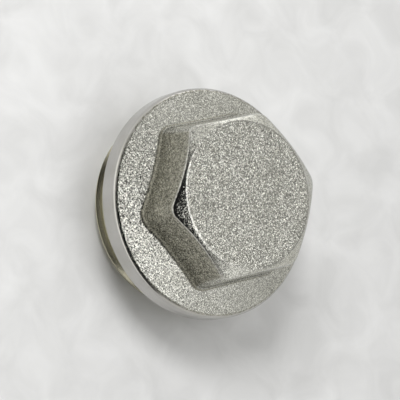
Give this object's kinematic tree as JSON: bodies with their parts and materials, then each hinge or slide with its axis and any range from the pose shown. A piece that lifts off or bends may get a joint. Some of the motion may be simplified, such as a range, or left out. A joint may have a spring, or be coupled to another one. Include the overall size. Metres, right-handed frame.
{
  "type": "threaded plug",
  "caption": "Hexagon-head pipe plug: short parallel pipe thread, crowned flange with a turned rim, tapered hexagon and a hollow underside. Closes a threaded port.",
  "frame": {"origin": "centre of the shank's end face, on which the plug stands", "axes": "+Z along the plug's axis, from the thread to the hexagon; two corners of the hexagon point along +Y and -Y"},
  "size_m": [0.039, 0.039, 0.0231],
  "materials": {
    "nickelled_brass": "nickel-plated brass: blasted forging on crown and hexagon, turned rim, seat and thread"
  },
  "bodies": {
    "root": {"plug_body": "nickelled_brass"}
  },
  "joints": []
}
